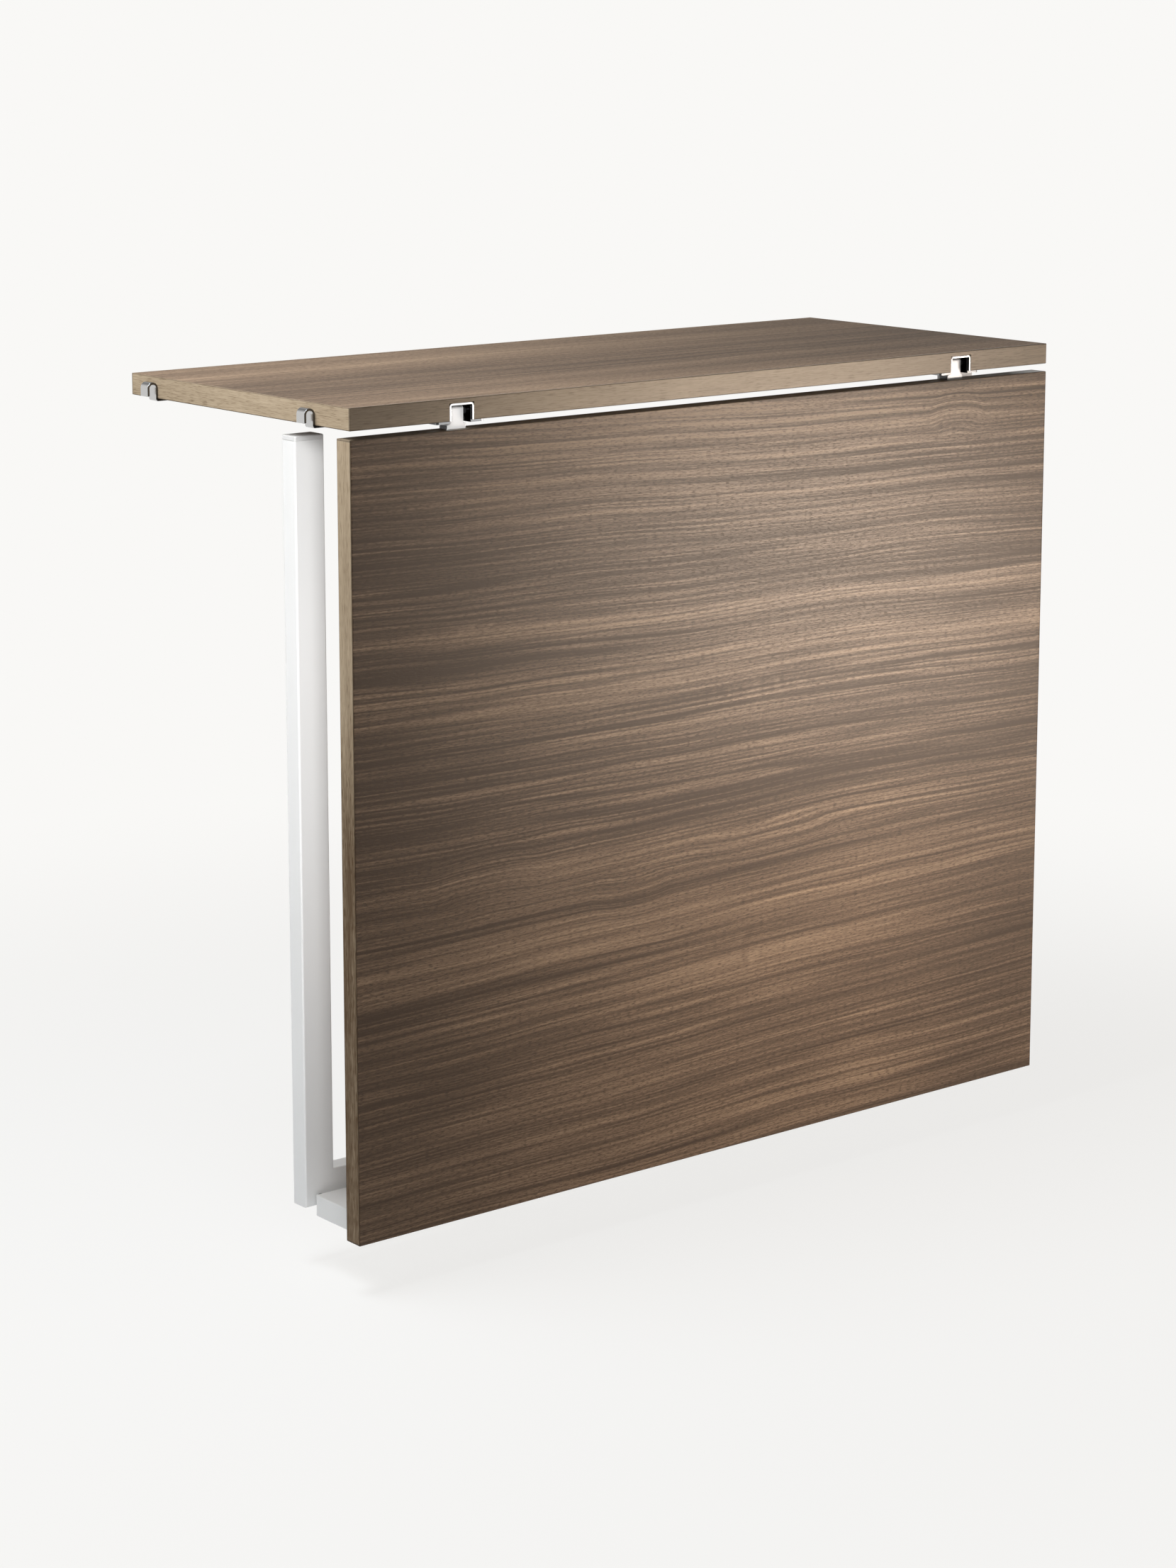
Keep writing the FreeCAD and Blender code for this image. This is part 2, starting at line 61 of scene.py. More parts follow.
# Lamps: place, target, width and height, watts. Some light only a few pieces, or spare them, by the start of
# their names. One that isn't mirrored makes no sheen, and one that isn't scattered makes nothing but sheen.
WHITE = (1.0, 1.0, 1.0)
WARM = (1.0, 0.90, 0.82)
COOL = (0.86, 0.93, 1.0)
FULL_SPREAD = 180.0
FRONT_RIGHT = {"place": (1.11, -1.37, -0.39), "target": (0.12, -0.31, -0.15), "size": (0.50, 0.42),
               "colour": WARM}
LAMPS = {
    "key": {**FRONT_RIGHT, "watts": 10.4},
    "sheen": {**FRONT_RIGHT, "watts": 20.0, "lights_only": ("leaf", "shelf_band"), "scattered": False},
    "low": {"place": (0.13, -0.85, -0.48), "target": (0.13, -0.31, -0.48), "size": (0.20, 0.12),
            "watts": 0.82, "colour": WARM, "spread": 110.0, "lights_only": ("leaf",), "mirrored": False},
    "overhead": {"place": (-0.65, -0.10, 0.95), "target": (-0.32, -0.16, 0.0), "size": (0.60, 0.50),
                 "watts": 19.5, "colour": COOL, "spares": ("leg", "foot")},
    "left": {"place": (-0.95, -0.20, 0.62), "target": (-0.38, -0.22, -0.05), "size": (0.50, 0.40),
             "watts": 5.4},
    "fill": {"place": (-0.86, -1.08, 0.22), "target": (-0.36, -0.23, -0.20), "size": (0.50, 0.50),
             "watts": 1.3, "spread": 50.0,
             "lights_only": ("leg_post", "leg_cross", "foot_cap", "leg_rail", "hinge_arm")},
    "back": {"place": (0.50, 1.50, 0.30), "target": (0.0, -0.25, -0.35), "size": (1.00, 0.80),
             "watts": 17.0, "lights_only": ("leg", "foot", "leaf", "rail"), "mirrored": False},
    "glint": {"place": (0.44, -1.26, -0.15), "target": (-0.27, -0.31, 0.0), "size": (0.50, 0.36),
              "watts": 0.7, "lights_only": ("hinge_hoop",)},
}

# Hinges: distance from the table's middle, the room inside the hoop, half the arm's width, the top of the
# arm's foot, and the shelf's underside
HINGE_PLACE = 0.273
CHANNEL_HALF = 0.0100
CHANNEL_TOP = 0.0032
ARM_HALF = 0.0065
FOOT_TOP = -0.0123
SHELF_UNDER = -0.0090

# Bright metal: how it drifts, and its painted dark reflections and shade. They begin within a tenth of a
# millimetre, or as the surface turns, and some are less dark than others.
CHROME_RATE = 45.0
CHROME_SHADE = 0.96
CHROME_UNEVEN = 0.03
# Near-black colour of the painted dark reflection and shade on bright metal
PAINTED_REFLECTION_DARK = (0.030, 0.030, 0.032, 1)
MASK_STEP = 0.0001
SIDEWAYS = (0.6, 0.9)
CUT_EDGE = (0.93, 0.985)
UPWARD = (0.35, 0.80)
# How dark the painted shade and reflection are on the hoop's flanges, the foot's ends and a hook's strip
FLANGE_PAINTED_SHADE = 0.7
FOOT_END_PAINTED_SHADE = 0.92
STRIP_PAINTED_REFLECTION = 0.8

# Boards: length across the grain, where the leaf's starts, the middle of its thickness, and half a thickness
LEAF_LENGTH = 0.6455
SHELF_DEPTH = 0.312
LEAF_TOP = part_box("leaf_band_top")[1].z
LEAF_MIDDLE = -0.303
BOARD_HALF = 0.009

# Veneer bands: distance from the board's first edge in millimetres, and tone from dark (0) to light (1)
LEAF_BANDS = (
    (0, 0.72), (22, 0.78), (38, 0.60), (52, 0.64), (66, 0.52), (98, 0.53), (117, 0.32), (126, 0.52),
    (158, 0.44), (171, 0.80), (181, 0.52), (192, 0.32), (206, 0.54), (216, 0.78), (231, 0.54), (262, 0.46),
    (279, 0.27), (296, 0.52), (331, 0.31), (352, 0.46), (372, 0.56), (394, 0.50), (400, 0.28), (409, 0.54),
    (445, 0.66), (453, 0.26), (463, 0.56), (490, 0.51), (522, 0.42), (551, 0.42), (575, 0.50), (645, 0.47),
)
SHELF_BANDS = (
    (0, 0.60), (24, 0.54), (46, 0.50), (74, 0.66), (92, 0.52), (112, 0.48), (128, 0.38), (150, 0.36),
    (172, 0.38), (200, 0.30), (212, 0.36), (238, 0.44), (262, 0.44), (288, 0.53), (312, 0.52),
)
WOOD_TONES = ((0.0, (0.055, 0.035, 0.023)), (0.35, (0.099, 0.065, 0.042)), (0.50, (0.138, 0.090, 0.058)),
              (0.75, (0.214, 0.144, 0.092)), (1.0, (0.300, 0.207, 0.130)))
TONE_LIFT = 0.10

# Growth rings: rings per metre across the grain, and how dark their lines are at distances in millimetres
LEAF_RINGS = {
    120: ((0, 0.34), (150, 0.46), (250, 0.40), (330, 0.38),
          (400, 0.32), (500, 0.28), (535, 0.12), (645, 0.10)),
    270: ((0, 0.38), (150, 0.36), (330, 0.36), (400, 0.16), (500, 0.18), (535, 0.28), (645, 0.30)),
}
SHELF_RINGS = {130: ((0, 0.14), (150, 0.20), (312, 0.14)), 280: ((0, 0.14), (312, 0.14))}

# Rings wander by a few rings. Late wood darkens through the year and ends with it, and it fades in places.
# Wander and fade have waves per metre along the board, and per ring across it.
RING_WANDER = 4.0
WANDER_ALONG = 1.1
WANDER_PER_RING = 0.24
LATE_WOOD_RISE = (0.30, 0.80)
LATE_WOOD_END = (1.0, 0.82)
FADE_LIMITS = (0.30, 0.65)
FADE_ALONG = 1.4
FADE_PER_RING = 0.35
FADE_SEED = 5.0

# Noise drawn out along the grain: waves per metre along and across it, seed and detail
STREAKS = {
    "slow bend": (2.2, 5.0, 0.0, 1.0),
    "quick bend": (5.0, 18.0, 3.1, 2.0),
    "cloud": (2.0, 26.0, 7.7, 1.0),
    "lines": (1.6, 170.0, 11.3, 2.0),
    "fibres": (9.0, 620.0, 17.9, 2.0),
    "pores": (190.0, 1500.0, 23.0, 1.0),
    "flecks": (170.0, 850.0, 29.3, 1.0),
    "bars": (95.0, 34.0, 31.0, 1.0),
    "edge slow": (6.0, 90.0, 0.0, 2.0),
    "edge fine": (34.0, 900.0, 4.0, 2.0),
    "edge dashes": (95.0, 1600.0, 9.0, 1.0),
}

# Finer figure: the strength of its layers, and its share across the board at distances in millimetres
FIGURE_LAYERS = {"cloud": 0.42, "lines": 0.95, "fibres": 0.90, "flecks": 0.40}
LEAF_FIGURE = ((0, 1.0), (340, 1.0), (430, 0.80), (645, 0.74))
SHELF_FIGURE = ((0, 0.40), (110, 0.52), (312, 0.52))

# Places where the grain swings round a small fault: along and across the board, reach each way, and the swing
LEAF_SWIRLS = (
    (-0.250, 0.365, 0.060, 0.034, 0.0036), (0.050, 0.378, 0.090, 0.022, -0.0042),
    (-0.100, 0.402, 0.045, 0.026, -0.0030), (0.270, 0.028, 0.036, 0.024, 0.0040),
)
SHELF_SWIRLS = ((0.120, 0.205, 0.080, 0.030, 0.0050), (-0.220, 0.070, 0.060, 0.030, -0.0040))

# Patches of cross figure: along and across the board, reach each way, and strength
LEAF_PATCHES = (
    (0.045, 0.243, 0.085, 0.012, 0.65), (-0.26, 0.160, 0.06, 0.010, 0.3),
    (0.03, 0.470, 0.016, 0.024, 0.5), (0.24, 0.250, 0.13, 0.010, 0.35),
)
SHELF_PATCHES = ((-0.2, 0.06, 0.05, 0.02, 0.2),)

# How far the grain bends, the part of the board over which its tilt changes, where the painted shade toward
# the board's ends begins and is full, and the pores, fibres and sheen
SLOW_BEND = 0.014
QUICK_BEND = 0.004
TILT_FROM = 0.3
TILT_TO = 0.75
PAINTED_SHADE_FROM = 0.16
PAINTED_SHADE_FULL = 0.37
PORE_LIMITS = (0.54, 0.68)
PORE_TONE = 0.32
PORE_ROUGHNESS = 0.08
FIBRE_SHARE = 0.5
GRAIN_DEPTH = 0.00002
WOOD_SHEEN = (1.0, 0.88, 0.75, 1)

# Edge bands: their tones and streaks, how pale each is (on the leaf, painted light from one distance down
# turning to painted shade at another), and the painted shade on the long ones toward the left and the right
# end
EDGE_TONES = ((0.0, (0.108, 0.065, 0.034)), (0.5, (0.350, 0.265, 0.175)), (1.0, (0.500, 0.390, 0.270)))
EDGE_SLOW = (0.55, 0.22)
EDGE_FINE = 0.62
DASH_LIMITS = (0.52, 0.70)
DASH_TONE = 0.32
LONG_SEED = 5.0
END_SEED = 8.0
# Painted light on the leaf's edge bands: pale near the top, painted shade lower down
LEAF_EDGE_PAINTED_LIGHT = (0.16, 0.36, 0.27, -0.34)
SHELF_LONG_PALENESS = 0.31
SHELF_END_PALENESS = 0.22
# Painted shade toward the ends of the long bands, leaving a painted highlight between them
LEFT_PAINTED_SHADE = (-0.38, -0.13, 0.45, 1.0)
RIGHT_PAINTED_SHADE = (0.02, 0.38, 1.0, 0.50)

# Corner between edge band and face, in shares of half the thickness, and the dark line along it
FACE_LIMITS = (0.985, 0.998)
SEAM_LIMITS = (0.90, 0.94)
SEAM_COLOUR = (0.030, 0.020, 0.014, 1)
SEAM_SHARE = 0.6

# The two boards: the grain's seed, its tilt at the first and the last edge, its bands, rings and figure, the
# painted shade at the left and the right end, and the finish
BOARDS = {
    "leaf": {"span": LEAF_LENGTH, "middle": LEAF_MIDDLE, "seed": 2.0, "tilts": (0.020, -0.018),
             "bands": LEAF_BANDS, "rings": LEAF_RINGS, "figure": LEAF_FIGURE, "swirls": LEAF_SWIRLS,
             "patches": LEAF_PATCHES, "ends": (-0.21, -0.12), "roughness": 0.31, "gloss": 0.16},
    "shelf": {"span": SHELF_DEPTH, "middle": 0.0, "seed": 41.0, "tilts": (0.010, -0.008),
              "bands": SHELF_BANDS, "rings": SHELF_RINGS, "figure": SHELF_FIGURE, "swirls": SHELF_SWIRLS,
              "patches": SHELF_PATCHES, "ends": (-0.04, -0.05), "roughness": 0.66, "gloss": 0.14},
}

# Plain finishes by material slot: the waves per metre of their drift, how far colour and roughness drift, and
# the depth of fine dents, which are much closer together
FINISHES = {
    "steel": {"name": "zinc steel", "colour": (0.62, 0.62, 0.61), "roughness": 0.30, "metallic": 1.0,
              "rate": 120.0, "shade": 0.06, "uneven": 0.06},
    "white_metal": {"name": "white powder coat", "colour": (0.85, 0.85, 0.845), "roughness": 0.38,
                    "rate": 9.0, "shade": 0.02, "uneven": 0.04, "dent": 0.00003},
    "white_lacquer": {"name": "white lacquer", "colour": (0.80, 0.80, 0.79), "roughness": 0.33,
                      "rate": 9.0, "shade": 0.02, "uneven": 0.04, "dent": 0.00002},
    "white_plastic": {"name": "white plastic", "colour": (0.78, 0.78, 0.775), "roughness": 0.45,
                      "rate": 30.0, "shade": 0.02, "uneven": 0.05, "dent": 0.00002},
    "bumper": {"name": "grey rubber", "colour": (0.30, 0.30, 0.30), "roughness": 0.75,
               "rate": 90.0, "shade": 0.08, "uneven": 0.06, "dent": 0.00003},
}
DENT_RATE = 22
DRIFT_DETAIL = 3.0
DRIFT_LOW = 0.25
DRIFT_HIGH = 0.75


# Node trees
class Nodes:
    """Short calls for building one node tree."""

    def __init__(self, tree):
        self.tree = tree

    def add(self, kind, inputs=None, **settings):
        made = self.tree.nodes.new("ShaderNode" + kind)
        for name, value in settings.items():
            setattr(made, name, value)
        for socket, value in (inputs or {}).items():
            self.feed(made.inputs[socket], value)
        return made

    def feed(self, socket, value):
        if isinstance(value, bpy.types.NodeSocket):
            self.tree.links.new(value, socket)
        else:
            socket.default_value = value

    def math(self, operation, first, second=0.0, third=0.0):
        return self.add("Math", {0: first, 1: second, 2: third}, operation=operation).outputs[0]

    def scaled(self, value, factor, offset=0.0):
        return self.math("MULTIPLY_ADD", value, factor, offset)

    def centred(self, value, size):
        """A value from 0 to 1, made as large as size and even around 0."""
        return self.scaled(value, size, -size / 2)

    def range(self, value, low, high, to_low=0.0, to_high=1.0):
        sockets = {"Value": value, "From Min": low, "From Max": high, "To Min": to_low, "To Max": to_high}
        return self.add("MapRange", sockets, interpolation_type="SMOOTHSTEP").outputs["Result"]

    def vector(self, x, y, z):
        return self.add("CombineXYZ", {"X": x, "Y": y, "Z": z}).outputs[0]

    def noise(self, place, rate, detail=2.0):
        """Even noise. The rate is waves per metre."""
        vector = self.add("Mapping", {"Vector": place, "Scale": (rate, rate, rate)}).outputs[0]
        return self.add("TexNoise", {"Vector": vector, "Scale": 1.0, "Detail": detail}).outputs[0]

    def streaks(self, along, across, seed, waves):
        """Noise drawn out along the grain, with waves given as in STREAKS."""
        along_rate, across_rate, own_seed, detail = waves
        offset = seed + own_seed
        place_along = self.scaled(along, along_rate, offset)
        place_across = self.scaled(across, across_rate, offset)
        sockets = {"Vector": self.vector(place_along, place_across, 0.0), "Scale": 1.0, "Detail": detail}
        return self.add("TexNoise", sockets, noise_dimensions="2D").outputs[0]

    def ramp(self, value, stops):
        made = self.add("ValToRGB", {0: value})
        elements = made.color_ramp.elements
        while len(elements) < len(stops):
            elements.new(1.0)
        for element, (place, colour) in zip(elements, stops):
            element.position = place
            element.color = (*colour, 1) if isinstance(colour, tuple) else (colour, colour, colour, 1)
        return made.outputs[0]

    def mix(self, share, first, second, blend="MIX"):
        made = self.add("Mix", data_type="RGBA", blend_type=blend)
        for socket, value in ((0, share), (6, first), (7, second)):
            self.feed(made.inputs[socket], value)
        return made.outputs[2]

    def bump(self, height, distance):
        return self.add("Bump", {"Height": height, "Distance": distance, "Strength": 1.0}).outputs[0]


def new_material(name):
    material = bpy.data.materials.new(name)
    material.use_nodes = True
    shader = material.node_tree.nodes["Principled BSDF"]
    return material, Nodes(material.node_tree), shader


def object_place(nodes):
    """The coordinates of the shaded point in the part's frame, and the surface's direction there."""
    source = nodes.add("TexCoord")
    place = nodes.add("SeparateXYZ", {0: source.outputs["Object"]}).outputs
    facing = nodes.add("SeparateXYZ", {0: source.outputs["Normal"]}).outputs
    return place, facing


# Walnut
def hill(nodes, along, across, centre_along, centre_across, half_along, half_across):
    """1 at a place on the board, falling to 0 at the given distances along and across the grain."""
    offset_along = nodes.scaled(along, 1 / half_along, -centre_along / half_along)
    offset_across = nodes.scaled(across, 1 / half_across, -centre_across / half_across)
    far = nodes.math("ADD", nodes.math("POWER", offset_along, 2.0), nodes.math("POWER", offset_across, 2.0))
    return nodes.range(far, 1.0, 0.0)


def warped(nodes, along, across, look):
    """The distance across the grain, tilted and bent by slow waves and swirls, as growth rings bend."""
    seed = look["seed"]
    tilt = nodes.range(across, TILT_FROM * look["span"], TILT_TO * look["span"], *look["tilts"])
    ring = nodes.math("SUBTRACT", across, nodes.math("MULTIPLY", tilt, along))
    slow = nodes.centred(nodes.streaks(along, across, seed, STREAKS["slow bend"]), SLOW_BEND)
    quick = nodes.centred(nodes.streaks(along, across, seed, STREAKS["quick bend"]), QUICK_BEND)
    ring = nodes.math("ADD", ring, nodes.math("ADD", slow, quick))
    for *where, swing in look["swirls"]:
        ring = nodes.math("ADD", ring, nodes.scaled(hill(nodes, along, across, *where), swing))
    return ring


def by_distance(nodes, ring, look, values):
    """A value that changes across the board, given at distances in millimetres."""
    share = nodes.scaled(ring, 1 / look["span"])
    return nodes.ramp(share, [(place / 1000 / look["span"], value) for place, value in values])


def growth_lines(nodes, along, ring, rate, seed):
    """Dark late wood that ends each year's ring, at uneven distances and unevenly strong."""
    drift = nodes.streaks(along, ring, seed, (WANDER_ALONG, WANDER_PER_RING * rate, 0.0, 2.0))
    wandering = nodes.math("ADD", nodes.scaled(ring, rate), nodes.scaled(drift, RING_WANDER))
    year = nodes.math("FRACT", wandering)
    dark = nodes.math("MULTIPLY", nodes.range(year, *LATE_WOOD_RISE), nodes.range(year, *LATE_WOOD_END))
    fade = nodes.streaks(along, ring, seed, (FADE_ALONG, FADE_PER_RING * rate, FADE_SEED, 1.0))
    return nodes.math("MULTIPLY", dark, nodes.range(fade, *FADE_LIMITS))


def ripple(nodes, along, across, where, strength, seed):
    """A patch of cross figure, where the fibres wave and catch the light in short bars."""
    bars = nodes.centred(nodes.streaks(along, across, seed, STREAKS["bars"]), strength)
    return nodes.math("MULTIPLY", hill(nodes, along, across, *where), bars)


def walnut_face(nodes, along, across, look):
    """Colour, pores and fibres of a walnut veneer, with painted shade toward its ends."""
    seed = look["seed"]
    ring = warped(nodes, along, across, look)
    tone = by_distance(nodes, ring, look, look["bands"])
    figure = by_distance(nodes, ring, look, look["figure"])
    layers = {name: nodes.streaks(along, ring, seed, STREAKS[name]) for name in FIGURE_LAYERS}
    for name, strength in FIGURE_LAYERS.items():
        layer = nodes.math("MULTIPLY", nodes.centred(layers[name], strength), figure)
        tone = nodes.math("ADD", tone, layer)
    for rate, strengths in look["rings"].items():
        dark = growth_lines(nodes, along, ring, rate, seed + rate)
        dark = nodes.math("MULTIPLY", dark, by_distance(nodes, ring, look, strengths))
        tone = nodes.math("SUBTRACT", tone, dark)
    for *where, strength in look["patches"]:
        tone = nodes.math("ADD", tone, ripple(nodes, along, across, where, strength, seed))
    # Painted shade: the tone darkens toward each end of the board, most at the leaf's left end
    for sign, shift in zip((-1, 1), look["ends"]):
        tone = nodes.math("ADD", tone, nodes.range(along, sign * PAINTED_SHADE_FROM, sign * PAINTED_SHADE_FULL, 0.0, shift))
    pores = nodes.range(nodes.streaks(along, ring, seed, STREAKS["pores"]), *PORE_LIMITS)
    tone = nodes.math("SUBTRACT", nodes.scaled(tone, 1.0, TONE_LIFT), nodes.scaled(pores, PORE_TONE))
    return nodes.ramp(tone, WOOD_TONES), pores, layers["fibres"]


def walnut_edge(nodes, along, across, seed, paleness):
    """Colour of a walnut edge band, with slow and fine streaks and short dark dashes along it."""
    slow = nodes.streaks(along, across, seed, STREAKS["edge slow"])
    fine = nodes.streaks(along, across, seed, STREAKS["edge fine"])
    dashes = nodes.range(nodes.streaks(along, across, seed, STREAKS["edge dashes"]), *DASH_LIMITS)
    tone = nodes.math("ADD", nodes.scaled(slow, *EDGE_SLOW), nodes.centred(fine, EDGE_FINE))
    # The paleness is painted light and shade on the leaf's bands, and a plain tone on the shelf's
    tone = nodes.math("SUBTRACT", nodes.math("ADD", tone, paleness), nodes.scaled(dashes, DASH_TONE))
    return nodes.ramp(tone, EDGE_TONES)


def finish_wood(nodes, shader, colour, pores, fibres, look):
    """Lacquered wood: rougher in its pores, with fibres and pores in its surface."""
    nodes.feed(shader.inputs["Base Color"], colour)
    nodes.feed(shader.inputs["Roughness"], nodes.scaled(pores, PORE_ROUGHNESS, look["roughness"]))
    height = nodes.math("SUBTRACT", nodes.scaled(fibres, FIBRE_SHARE), pores)
    nodes.feed(shader.inputs["Normal"], nodes.bump(height, GRAIN_DEPTH))
    shader.inputs["Specular IOR Level"].default_value = look["gloss"]
    shader.inputs["Specular Tint"].default_value = WOOD_SHEEN


def board_axes(nodes, board):
    """Distances along and across the grain of a board, and the place that they come from."""
    place = object_place(nodes)[0]
    if board == "leaf":
        return place["X"], nodes.scaled(place["Z"], -1.0, LEAF_TOP), place
    return place["X"], nodes.scaled(place["Y"], -1.0), place


def board_material(board):
    material, nodes, shader = new_material("walnut " + board)
    along, across, _ = board_axes(nodes, board)
    colour, pores, fibres = walnut_face(nodes, along, across, BOARDS[board])
    finish_wood(nodes, shader, colour, pores, fibres, BOARDS[board])
    return material


# How pale an edge band is: on the leaf, painted light near the top and painted shade lower down; on the
# shelf, its plain tone
def edge_paleness_and_painted_light(nodes, board, across, is_long):
    if board == "leaf":
        return nodes.range(across, *LEAF_EDGE_PAINTED_LIGHT)
    return SHELF_LONG_PALENESS if is_long else SHELF_END_PALENESS


def band_material(board, is_long):
    """The board's veneer on the two faces, the edge band between them with painted light and shade, and a
    dark line at the corners.
    """
    material, nodes, shader = new_material("walnut band " + board + (" long" if is_long else " end"))
    along, across, place = board_axes(nodes, board)
    look = BOARDS[board]
    colour, pores, fibres = walnut_face(nodes, along, across, look)
    thin = place["Y" if board == "leaf" else "Z"]
    run = place["X"] if is_long else across
    seed = look["seed"] + (LONG_SEED if is_long else END_SEED)
    edge = walnut_edge(nodes, run, thin, seed, edge_paleness_and_painted_light(nodes, board, across, is_long))
    # Painted shade toward both ends of a long band, leaving a painted highlight between them
    if is_long:
        dim = nodes.range(place["X"], *LEFT_PAINTED_SHADE)
        dim = nodes.math("MULTIPLY", dim, nodes.range(place["X"], *RIGHT_PAINTED_SHADE))
        edge = nodes.mix(1.0, edge, nodes.vector(dim, dim, dim), "MULTIPLY")
    outward = nodes.math("ABSOLUTE", nodes.scaled(thin, 1 / BOARD_HALF, -look["middle"] / BOARD_HALF))
    on_face = nodes.range(outward, *FACE_LIMITS)
    off_face = nodes.range(outward, *reversed(FACE_LIMITS))
    seam = nodes.math("MULTIPLY", nodes.range(outward, *SEAM_LIMITS), off_face)
    colour = nodes.mix(on_face, edge, colour)
    colour = nodes.mix(nodes.scaled(seam, SEAM_SHARE), colour, SEAM_COLOUR)
    pores = nodes.math("MULTIPLY", pores, on_face)
    fibres = nodes.math("MULTIPLY", fibres, on_face)
    finish_wood(nodes, shader, colour, pores, fibres, BOARDS["leaf" if is_long else "shelf"])
    return material


# Metal, lacquer and plastic
def plain_material(name, colour, roughness, rate, shade, uneven, metallic=0.0, dent=0.0):
    """A near-plain finish: colour and roughness drift a little, and the surface may have fine dents."""
    material, nodes, shader = new_material(name)
    place = nodes.add("TexCoord").outputs["Object"]
    drift = nodes.noise(place, rate, DRIFT_DETAIL)
    low = tuple(channel * (1 - shade) for channel in colour)
    high = tuple(min(1.0, channel * (1 + shade)) for channel in colour)
    nodes.feed(shader.inputs["Base Color"], nodes.ramp(drift, ((DRIFT_LOW, low), (DRIFT_HIGH, high))))
    nodes.feed(shader.inputs["Roughness"], nodes.scaled(drift, 2 * uneven, roughness - uneven))
    shader.inputs["Metallic"].default_value = metallic
    if dent:
        nodes.feed(shader.inputs["Normal"], nodes.bump(nodes.noise(place, rate * DENT_RATE), dent))
    return material


def chrome(name, painted_dark_mask, tint, roughness, metallic=1.0):
    """Bright metal darkened by painted reflection and shade where the mask says it would mirror only dark
    places close around it.
    """
    material, nodes, shader = new_material(name)
    place, facing = object_place(nodes)
    drift = nodes.noise(nodes.vector(place["X"], place["Y"], place["Z"]), CHROME_RATE, DRIFT_DETAIL)
    bright = nodes.ramp(drift, ((DRIFT_LOW, tint * CHROME_SHADE), (DRIFT_HIGH, tint)))
    # Painted dark reflection and shade, mixed into the metal's colour by the mask
    colour = nodes.mix(painted_dark_mask(nodes, place, facing), bright, PAINTED_REFLECTION_DARK)
    nodes.feed(shader.inputs["Base Color"], colour)
    nodes.feed(shader.inputs["Roughness"], nodes.scaled(drift, 2 * CHROME_UNEVEN, roughness - CHROME_UNEVEN))
    shader.inputs["Metallic"].default_value = metallic
    return material


def from_hinge(nodes, place):
    """Distance along X from the middle of the nearer hinge."""
    from_middle = nodes.math("ABSOLUTE", place["X"])
    return nodes.math("ABSOLUTE", nodes.scaled(from_middle, 1.0, -HINGE_PLACE))


def painted_shade_inside_hoop(nodes, place, facing):
    """Painted shade and dark reflection inside the hoop, and nearly as dark on its flanges under the shelf.
    """
    between = nodes.range(from_hinge(nodes, place), CHANNEL_HALF + 2 * MASK_STEP, CHANNEL_HALF + MASK_STEP)
    below_top = nodes.range(place["Z"], CHANNEL_TOP + 2 * MASK_STEP, CHANNEL_TOP + MASK_STEP)
    inside = nodes.math("MULTIPLY", between, below_top)
    flange = nodes.range(place["Z"], SHELF_UNDER, SHELF_UNDER - 3 * MASK_STEP)
    return nodes.math("MAXIMUM", inside, nodes.scaled(flange, FLANGE_PAINTED_SHADE))


def painted_shade_beside_arm(nodes, place, facing):
    """Painted shade and dark reflection on the arm's sides within the hoop, and on the ends of its foot."""
    aside = nodes.range(from_hinge(nodes, place), ARM_HALF - MASK_STEP, ARM_HALF)
    aside = nodes.math("MULTIPLY", aside, nodes.range(place["Z"], FOOT_TOP, FOOT_TOP + 10 * MASK_STEP))
    sideways = nodes.range(nodes.math("ABSOLUTE", facing["X"]), *SIDEWAYS)
    foot_end = nodes.math("MULTIPLY", sideways, nodes.range(place["Z"], FOOT_TOP, FOOT_TOP - 10 * MASK_STEP))
    return nodes.math("MAXIMUM", aside, nodes.scaled(foot_end, FOOT_END_PAINTED_SHADE))


def painted_reflection_on_strip(nodes, place, facing):
    """Painted dark reflection on a hook's cut edges, and where its strip faces up to the shelf."""
    cut_edge = nodes.range(nodes.math("ABSOLUTE", facing["Y"]), *CUT_EDGE)
    upward = nodes.range(facing["Z"], *UPWARD)
    return nodes.scaled(nodes.math("MAXIMUM", cut_edge, upward), STRIP_PAINTED_REFLECTION)


# Which nodes wear which finish
def dress():
    boards = {board: board_material(board) for board in BOARDS}
    bands = {(board, is_long): band_material(board, is_long) for board in BOARDS for is_long in (True, False)}
    finishes = {slot: plain_material(**finish) for slot, finish in FINISHES.items()}
    chromes = {
        "hook": chrome("satin chrome", painted_reflection_on_strip, tint=0.58, roughness=0.17),
        "hinge_hoop": chrome("hoop chrome", painted_shade_inside_hoop, tint=0.88, roughness=0.12),
        "hinge_arm": chrome("arm chrome", painted_shade_beside_arm, tint=0.92, roughness=0.20, metallic=0.15),
    }
    slots = {row["node"]: row["material_slot"] for row in frame["record"]["subparts"]}
    for name, piece in frame["nodes"].items():
        board = "leaf" if name.startswith("leaf") else "shelf"
        if slots[name] == "walnut_face":
            material = boards[board]
        elif slots[name] == "walnut_edge":
            material = bands[board, not name.endswith(("left", "right"))]
        elif slots[name] == "chrome":
            material = next(made for start, made in chromes.items() if name.startswith(start))
        else:
            material = finishes[slots[name]]
        piece.data.materials.clear()
        piece.data.materials.append(material)
        if slots[name] in ("walnut_face", "walnut_edge"):
            flat = piece.modifiers.new("flat faces", "WEIGHTED_NORMAL")
            flat.weight = 100
            flat.keep_sharp = True


# Stage, light and camera
def pale_rays(nodes, behind):
    """1 for rays that show the backdrop: all from the camera, and mirrored ones that go behind the part."""
    path = nodes.add("LightPath").outputs
    mirrored = nodes.math("MAXIMUM", path["Is Glossy Ray"], path["Is Transmission Ray"])
    return nodes.math("MAXIMUM", path["Is Camera Ray"], nodes.math("MULTIPLY", mirrored, behind))


